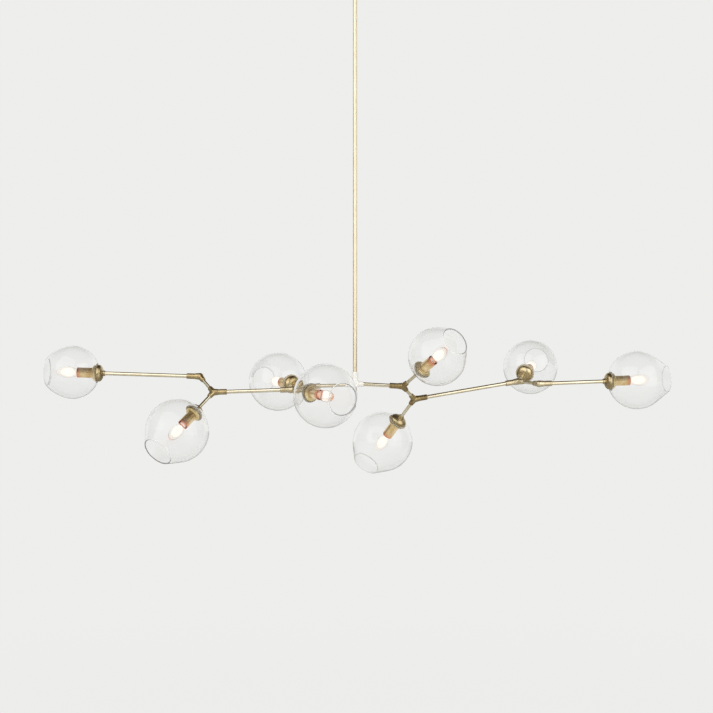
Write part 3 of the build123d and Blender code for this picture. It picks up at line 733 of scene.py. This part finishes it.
def knurl_tree():
    """Straight knurl: upright ridges spaced evenly round a circle about the vertical axis."""
    tree, given, out = new_tree("nut knurl", [
        ("Circle radius", "NodeSocketFloat"), ("Ridge radius", "NodeSocketFloat"),
        ("Height", "NodeSocketFloat"), ("Ridges", "NodeSocketInt"), ("Level", "NodeSocketFloat"),
        ("Metal", "NodeSocketMaterial")])
    ring = add(tree, "GeometryNodeMeshCircle", inputs={
        "Vertices": given.outputs["Ridges"], "Radius": given.outputs["Circle radius"]})
    ridge = add(tree, "GeometryNodeMeshCylinder", inputs={
        "Vertices": 8, "Side Segments": 1, "Radius": given.outputs["Ridge radius"],
        "Depth": given.outputs["Height"]})
    placed = add(tree, "GeometryNodeInstanceOnPoints", inputs={
        "Points": ring.outputs[0], "Instance": ridge.outputs[0]})
    lift = add(tree, "ShaderNodeCombineXYZ", inputs={"Z": given.outputs["Level"]})
    raised = add(tree, "GeometryNodeTransform", inputs={
        "Geometry": placed.outputs[0], "Translation": lift.outputs[0]})
    joined = add(tree, "GeometryNodeJoinGeometry")
    tree.links.new(given.outputs["Geometry"], joined.inputs[0])
    tree.links.new(raised.outputs[0], joined.inputs[0])
    real = add(tree, "GeometryNodeRealizeInstances", inputs={0: joined.outputs[0]})
    metal = add(tree, "GeometryNodeSetMaterial", inputs={
        "Geometry": real.outputs[0], "Material": given.outputs["Metal"]})
    tree.links.new(metal.outputs[0], out.inputs[0])
    return tree


def grown(mesh, tree, values):
    """Plain mesh that a tree makes of a mesh, with the tree's inputs set by name."""
    carrier = bpy.data.objects.new("carrier", mesh)
    bpy.context.scene.collection.objects.link(carrier)
    modifier = carrier.modifiers.new("grow", "NODES")
    modifier.node_group = tree
    for socket in tree.interface.items_tree:
        if socket.in_out == "INPUT" and socket.name in values:
            modifier[socket.identifier] = values[socket.name]
    view = bpy.context.evaluated_depsgraph_get()
    made = bpy.data.meshes.new_from_object(carrier.evaluated_get(view))
    carrier.modifiers.remove(modifier)
    bpy.data.objects.remove(carrier)
    return made


PLACES = {lamp: place_of(lamp) for lamp in LAMP_BODIES}


def add_globes():
    """The eight globes, each with its own mouth and wander."""
    for number, (lamp, body) in enumerate(LAMP_BODIES.items()):
        radius = globe_radius(lamp, PLACES[lamp])
        outline = globe_outline(radius, *MOUTHS[lamp])
        part = turned(outline, PLACES[lamp], GLOBE_SEGMENTS, hand_blown(number, radius))
        mesh = turned_mesh(f"{lamp}_blown_globe", [part])
        ground = mesh.attributes.new("ground", "FLOAT", "POINT")
        to_lamp = PLACES[lamp].inverted()
        ground.data.foreach_set("value", ground_shares([to_lamp @ v.co for v in mesh.vertices]))
        finished(f"{lamp}_blown_globe", mesh, globe_glass, body, [f"{lamp}_globe"], 50)


def add_lamp_fittings(body):
    """Cups, clamp rings, socket covers and bulbs of the two lamps on a body."""
    places = [PLACES[lamp] for lamp in LAMP_BODIES if LAMP_BODIES[lamp] == body]
    fittings = (
        ("spun_cups", cup_outline(), 96, shaded_cup_brass, "back_cups", "brass", 35),
        ("sloped_rings", ring_outline(), 96, ring_brass, "clamp_rings", "brass", 40),
        ("beaded_covers", cover_outline(), 96, cover_brass, "socket_covers", "brass", 50),
        ("lit_bulbs", bulb_outline(), 64, bulb_glass, "bulbs", "bulb_glass", 60),
        ("bulb_hearts", heart_outline(), 48, bulb_light, "bulbs", "bulb_glass", 60),
        ("bulb_necks", neck_outline(), 64, neck_glass, "bulbs", "bulb_glass", 40),
        ("cap_cores", cap_outline(), 48, cap_nickel, "bulbs", "screw_steel", 40),
    )
    for name, outline, segments, material, node, slot, sharp in fittings:
        mesh = turned_mesh(f"{body}_{name}", [turned(outline, place, segments) for place in places])
        finished(f"{body}_{name}", mesh, material, body, [f"{body}_{node}"], sharp)
    seats = bpy.data.meshes.new("cap seats")
    seats.from_pydata([place.translation for place in places], [], [])
    lean = seats.attributes.new("lean", "FLOAT_VECTOR", "POINT")
    lean.data.foreach_set("vector", [angle for place in places for angle in place.to_euler()])
    thread = grown(seats, THREAD_TREE, {
        "Core radius": CAP_CORE_R, "Ridge radius": CAP_THREAD_R, "Pitch": CAP_PITCH, "Turns": CAP_TURNS,
        "Start": CAP_FRONT - CAP_PITCH * CAP_TURNS - CAP_PLAIN, "Metal": cap_nickel})
    finished(f"{body}_cap_threads", thread, cap_nickel, body, [f"{body}_bulbs"], 40)


def rod_ends(node):
    """Both ends of each rod or tube in a node, each with the direction that leads away along the rod."""
    work = bmesh.new()
    work.from_mesh(bpy.data.objects[node].data)
    bmesh.ops.remove_doubles(work, verts=work.verts, dist=1e-6)
    work.verts.index_update()
    seen = set()
    ends = []
    for first in work.verts:
        if first.index in seen:
            continue
        seen.add(first.index)
        found = [first]
        for vert in found:
            for edge in vert.link_edges:
                other = edge.other_vert(vert)
                if other.index not in seen:
                    seen.add(other.index)
                    found.append(other)
        points = np.array([v.co for v in found])
        middle = points.mean(axis=0)
        axis = np.linalg.svd(points - middle, full_matrices=False)[2][0]
        runs = (points - middle) @ axis
        ends.append((Vector(middle + axis * runs.min()), Vector(axis)))
        ends.append((Vector(middle + axis * runs.max()), Vector(-axis)))
    work.free()
    return ends


def ends_in(fitting, nodes):
    """The rod ends of some nodes that sit in a fitting."""
    points = points_of(fitting)
    ends = [end for node in nodes for end in rod_ends(node)]
    gaps = [np.min(np.linalg.norm(points - np.array(end[0]), axis=1)) for end in ends]
    return [end for end, gap in zip(ends, gaps) if gap < ROD_END_REACH]


def add_cone(work, start, along, reach, root_r, end_r):
    """Closed cone from a point along a direction."""
    place = Matrix.Translation(start) @ along.to_track_quat("Z", "Y").to_matrix().to_4x4()
    bmesh.ops.create_cone(
        work, cap_ends=True, segments=48, radius1=root_r, radius2=end_r, depth=reach,
        matrix=place @ Matrix.Translation((0, 0, reach / 2)))


def add_cast_webs(body):
    """Soft middles of a body's two castings: tapered prongs that run into each other and the sleeve."""
    side = body.split("_")[0]
    rods = [f"{side}_middle_rods", f"{side}_end_rods"]
    tubes = [f"{side}_inner_tube", f"{side}_middle_tube", f"{side}_outer_tube"]
    work = bmesh.new()
    for fitting in FITTINGS[body]:
        prongs = ends_in(fitting, rods)
        middle = prongs[0][0] - prongs[0][1] * FORK_ROD_START
        bmesh.ops.create_uvsphere(
            work, u_segments=32, v_segments=16, radius=WEB_BALL_R, matrix=Matrix.Translation(middle))
        for _, along in prongs:
            add_cone(work, middle, along, WEB_PRONG_REACH, WEB_ROOT_R, WEB_PRONG_R)
        for _, along in ends_in(fitting, tubes):
            add_cone(work, middle, along, WEB_SLEEVE_REACH, WEB_BALL_R, WEB_SLEEVE_R)
    rough = bpy.data.meshes.new("rough castings")
    work.to_mesh(rough)
    work.free()
    carrier = bpy.data.objects.new("carrier", rough)
    bpy.context.scene.collection.objects.link(carrier)
    skin = carrier.modifiers.new("skin", "REMESH")
    skin.mode = "VOXEL"
    skin.voxel_size = WEB_GRAIN
    soften = carrier.modifiers.new("soften", "SMOOTH")
    soften.factor = 0.5
    soften.iterations = WEB_SMOOTHING
    view = bpy.context.evaluated_depsgraph_get()
    mesh = bpy.data.meshes.new_from_object(carrier.evaluated_get(view))
    bpy.data.objects.remove(carrier)
    finished(f"{body}_cast_webs", mesh, FITTING_BRASS[body], body, [], 80)


def add_canopy_nut():
    """Knurled nut that holds the canopy up on the nipple."""
    crown = arc((NUT_CORE_R - NUT_ROUND, NUT_BOTTOM + NUT_ROUND), NUT_ROUND, 0, -pi / 2, 8)
    outline = [(NUT_HOLE_R, NUT_TOP), (NUT_CORE_R, NUT_TOP), *crown, (NUT_HOLE_R, NUT_BOTTOM)]
    core = turned_mesh("nut core", [turned(outline, Matrix.Identity(4), 2 * NUT_RIDGES)])
    mesh = grown(core, knurl_tree(), {
        "Circle radius": NUT_CORE_R, "Ridge radius": NUT_RIDGE_R, "Height": NUT_RIDGE_HEIGHT,
        "Ridges": NUT_RIDGES, "Level": NUT_RIDGE_LEVEL, "Metal": ceiling_brass})
    finished("knurled_canopy_nut", mesh, ceiling_brass, "ceiling", ["canopy_nut"], 35)


def dress_nodes():
    """Finishes of the solids that show as they are."""
    finishes = {
        ceiling_brass: ["canopy", "swivel_yoke", "swivel_pin", "swivel_tongue"],
        plated_steel: ["ceiling_bar", "nipple", "locknut"],
        stem_brass: ["stem"],
        hub_painted_highlight: ["hub_tee"],
    }
    for body, fittings in FITTINGS.items():
        finishes.setdefault(FITTING_BRASS[body], []).extend(fittings)
    arms = ("inner_tube", "middle_tube", "outer_tube", "middle_rods", "end_rods")
    for side in ("right", "left"):
        finishes.setdefault(arm_brass, []).extend(f"{side}_{piece}" for piece in arms)
        for part in ("middle", "end"):
            finishes.setdefault(black_steel, []).append(f"{side}_{part}_screws")
            finishes.setdefault(porcelain, []).append(f"{side}_{part}_lampholders")
    for material, nodes in finishes.items():
        for node in nodes:
            for slot in bpy.data.objects[node].material_slots:
                slot.material = material


def add_camera():
    """Camera of the photograph: far off, a little below the arms and looking slightly up."""
    low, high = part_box("hub_tee")
    crossing = Vector(((low.x + high.x) / 2, (low.y + high.y) / 2, low.z + HUB_FALL))
    data = bpy.data.cameras.new("photograph")
    data.sensor_fit = "HORIZONTAL"
    data.sensor_width = SENSOR_WIDTH
    data.lens = FOCAL_LENGTH / IMAGE_WIDTH * SENSOR_WIDTH
    data.clip_end = 100
    camera = bpy.data.objects.new("photograph", data)
    camera.location = crossing + Vector((CAMERA_ASIDE, -CAMERA_AWAY, -CAMERA_BELOW))
    camera.rotation_euler = (radians(90) + CAMERA_LIFT, 0, CAMERA_TURN)
    bpy.context.scene.collection.objects.link(camera)
    bpy.context.scene.camera = camera


BACKDROP = "#EEEEEC"
FLOOR_LEVEL = -2.45
FLOOR_REACH = 40.0
STUDIO_LAMPS = (                    # name, place from the hub, size and power
    ("key", (-1.6, -2.4, 1.5), 4.2, 80),
    ("fill", (2.2, -1.8, 0.6), 3.4, 52),
)


def add_world():
    """Pale studio: the backdrop's colour round the horizon, darker at the sides, in front, above and below.

    The dark parts give rounded brass its brown bands, in the open and inside the globes.
    """
    world = bpy.data.worlds.new("studio")
    bpy.context.scene.world = world
    world.use_nodes = True
    tree = world.node_tree
    tree.nodes.clear()
    place = add(tree, "ShaderNodeTexCoord")
    parts = add(tree, "ShaderNodeSeparateXYZ", inputs={0: place.outputs["Generated"]})
    height = add(tree, "ShaderNodeMapRange", inputs={
        "Value": parts.outputs["Z"], "From Min": -1.0, "From Max": 1.0})
    around = add(tree, "ShaderNodeValToRGB", {"stops": [
        (0.0, "#4E4840"), (0.24, "#8A857C"), (0.38, BACKDROP), (0.7, BACKDROP), (0.86, "#6E685F"),
        (1.0, "#57514A")]}, {"Fac": height.outputs[0]})
    aside = add(tree, "ShaderNodeMath", {"operation": "ABSOLUTE"}, {0: parts.outputs["X"]})
    flag = add(tree, "ShaderNodeMapRange", {"interpolation_type": "SMOOTHSTEP"}, {
        "Value": aside.outputs[0], "From Min": 0.72, "From Max": 0.95, "To Min": 0.0, "To Max": 0.75})
    shaded = add(tree, "ShaderNodeMix", {"data_type": "RGBA"}, {
        0: flag.outputs[0], 6: around.outputs["Color"], 7: linear("#5A544B")})
    towards = add(tree, "ShaderNodeMapRange", {"interpolation_type": "SMOOTHSTEP"}, {
        "Value": parts.outputs["Y"], "From Min": -0.6, "From Max": -0.92, "To Min": 0.0, "To Max": 0.65})
    front = add(tree, "ShaderNodeMix", {"data_type": "RGBA"}, {
        0: towards.outputs[0], 6: shaded.outputs[2], 7: linear("#5C5344")})
    path = add(tree, "ShaderNodeLightPath")
    direct = add(tree, "ShaderNodeMapRange", inputs={
        "Value": path.outputs["Glossy Depth"], "To Min": 1.0, "To Max": 0.15})
    glassy = add(tree, "ShaderNodeMath", {"operation": "MULTIPLY"}, {
        0: path.outputs["Is Transmission Ray"], 1: direct.outputs[0]})
    pale = add(tree, "ShaderNodeMath", {"operation": "MAXIMUM"}, {
        0: path.outputs["Is Camera Ray"], 1: glassy.outputs[0]})
    seen = add(tree, "ShaderNodeMix", {"data_type": "RGBA"}, {
        0: pale.outputs[0], 6: front.outputs[2], 7: linear(BACKDROP)})
    sky = add(tree, "ShaderNodeBackground", inputs={"Color": seen.outputs[2], "Strength": 1.0})
    out = add(tree, "ShaderNodeOutputWorld", inputs={"Surface": sky.outputs[0]})
    out.is_active_output = True


def add_floor():
    """Pale floor far below, as bright as the backdrop, that takes a soft shadow under the light."""
    made, tree, out = new_material("pale studio floor")
    place = add(tree, "ShaderNodeTexCoord")
    reach = add(tree, "ShaderNodeVectorMath", {"operation": "LENGTH"}, {0: place.outputs["Object"]})
    far = add(tree, "ShaderNodeMapRange", {"interpolation_type": "SMOOTHSTEP"}, {
        "Value": reach.outputs["Value"], "From Min": 2.6, "From Max": 5.0, "To Min": 0.975, "To Max": 1.0})
    path = add(tree, "ShaderNodeLightPath")
    through = add(tree, "ShaderNodeMath", {"operation": "MAXIMUM"}, {
        0: path.outputs["Is Camera Ray"], 1: path.outputs["Is Transmission Ray"]})
    share = add(tree, "ShaderNodeMath", {"operation": "MULTIPLY"}, {
        0: through.outputs[0], 1: far.outputs[0]})
    matt = add(tree, "ShaderNodeBsdfDiffuse", inputs={"Color": linear("#E9E9E6")})
    pale = add(tree, "ShaderNodeEmission", inputs={"Color": linear(BACKDROP), "Strength": 1.0})
    both = add(tree, "ShaderNodeMixShader", inputs={
        0: share.outputs[0], 1: matt.outputs[0], 2: pale.outputs[0]})
    tree.links.new(both.outputs[0], out.inputs["Surface"])
    mesh = bpy.data.meshes.new("floor")
    signs = ((-1, -1), (1, -1), (1, 1), (-1, 1))
    corners = [(x * FLOOR_REACH, y * FLOOR_REACH, FLOOR_LEVEL) for x, y in signs]
    mesh.from_pydata(corners, [], [(0, 1, 2, 3)])
    mesh.materials.append(made)
    floor = bpy.data.objects.new("floor", mesh)
    bpy.context.scene.collection.objects.link(floor)


def add_lamp(name, place, aim, size, power):
    """Soft studio lamp aimed at a point, not seen through the globes."""
    data = bpy.data.lights.new(name, "AREA")
    data.size = size
    data.energy = power
    light = bpy.data.objects.new(name, data)
    light.location = place
    light.rotation_euler = (Vector(aim) - Vector(place)).to_track_quat("-Z", "Y").to_euler()
    light.visible_transmission = False
    bpy.context.scene.collection.objects.link(light)


THREAD_TREE = thread_tree()
add_globes()
for arm_body in ARM_BODIES:
    add_lamp_fittings(arm_body)
    add_cast_webs(arm_body)
add_canopy_nut()
dress_nodes()
add_camera()
add_world()
add_floor()
hub_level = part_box("hub_tee")[0].z
for lamp_name, (lamp_x, lamp_y, rise), lamp_size, power in STUDIO_LAMPS:
    add_lamp(lamp_name, (lamp_x, lamp_y, hub_level + rise), (0, 0, hub_level), lamp_size, power)
bpy.context.scene.view_settings.view_transform = "Standard"
